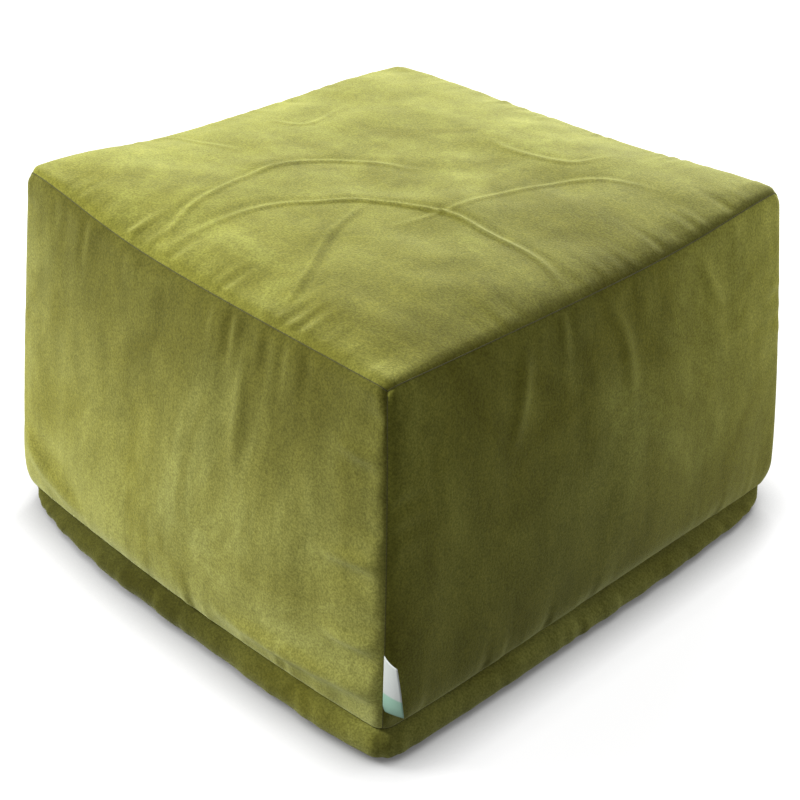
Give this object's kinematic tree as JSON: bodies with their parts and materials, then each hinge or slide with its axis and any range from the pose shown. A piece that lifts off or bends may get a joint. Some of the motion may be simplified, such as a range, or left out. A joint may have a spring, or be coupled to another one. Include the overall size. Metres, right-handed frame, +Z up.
{
  "type": "floor cushion",
  "caption": "Large square floor cushion: a velvet slipcover with a zip along its back bottom seam, over a calico bag wrapped in batting and filled with beads.",
  "frame": {"origin": "on the floor, under the middle of the cushion", "axes": "+Z up, -Y towards the front face, +X towards the right face; the zip is on the +Y face and the label on the front right corner"},
  "size_m": [0.7086, 0.6918, 0.435],
  "materials": {
    "velvet": "soft pile",
    "velvet_thread": "matt",
    "calico": "matt",
    "calico_thread": "matt",
    "zip_tape": "matt",
    "zip_coil": "satin",
    "zip_metal": "satin",
    "label_ribbon": "satin",
    "wadding": "matt",
    "beads": "matt"
  },
  "bodies": {
    "cushion": {"cover_top_panel": "velvet", "cover_bottom_panel": "velvet", "cover_front_panel": "velvet", "cover_front_right_seam_thread": "velvet_thread", "cover_right_panel": "velvet", "cover_right_back_seam_thread": "velvet_thread", "cover_back_panel": "velvet", "cover_back_left_seam_thread": "velvet_thread", "cover_left_panel": "velvet", "cover_left_front_seam_thread": "velvet_thread", "cover_top_seam_thread": "velvet_thread", "cover_bottom_seam_thread": "velvet_thread", "liner_top_panel": "calico", "liner_bottom_panel": "calico", "liner_front_panel": "calico", "liner_front_right_seam_thread": "calico_thread", "liner_right_panel": "calico", "liner_right_back_seam_thread": "calico_thread", "liner_back_panel": "calico", "liner_back_left_seam_thread": "calico_thread", "liner_left_panel": "calico", "liner_left_front_seam_thread": "calico_thread", "liner_top_seam_thread": "calico_thread", "liner_bottom_seam_thread": "calico_thread", "zip_upper_tape": "zip_tape", "zip_upper_coil": "zip_coil", "zip_upper_stitching": "velvet_thread", "zip_upper_top_stop": "zip_metal", "zip_lower_tape": "zip_tape", "zip_lower_coil": "zip_coil", "zip_lower_stitching": "velvet_thread", "zip_lower_top_stop": "zip_metal", "zip_bottom_stop": "zip_metal", "batting_top": "wadding", "batting_wrap": "wadding", "batting_bottom": "wadding", "bead_core": "beads"},
    "slider": {"zip_slider": "zip_metal"},
    "pull": {"zip_pull": "zip_metal"},
    "label": {"side_label": "label_ribbon"}
  },
  "joints": [
    {"name": "zip_slide", "type": "slide", "parent": "cushion", "child": "slider", "axis": [-1, 0, 0], "range_m": [0, 0.585]},
    {"name": "zip_pull_hinge", "type": "hinge", "parent": "slider", "child": "pull", "pos_m": [0.293, 0.3433, 0.043], "axis": [0, 0, -1], "range_deg": [0, 180]},
    {"name": "label_hinge", "type": "hinge", "parent": "cushion", "child": "label", "pos_m": [0.3406, -0.3406, 0.084], "axis": [0, 0, 1], "range_deg": [-195, 50]}
  ]
}
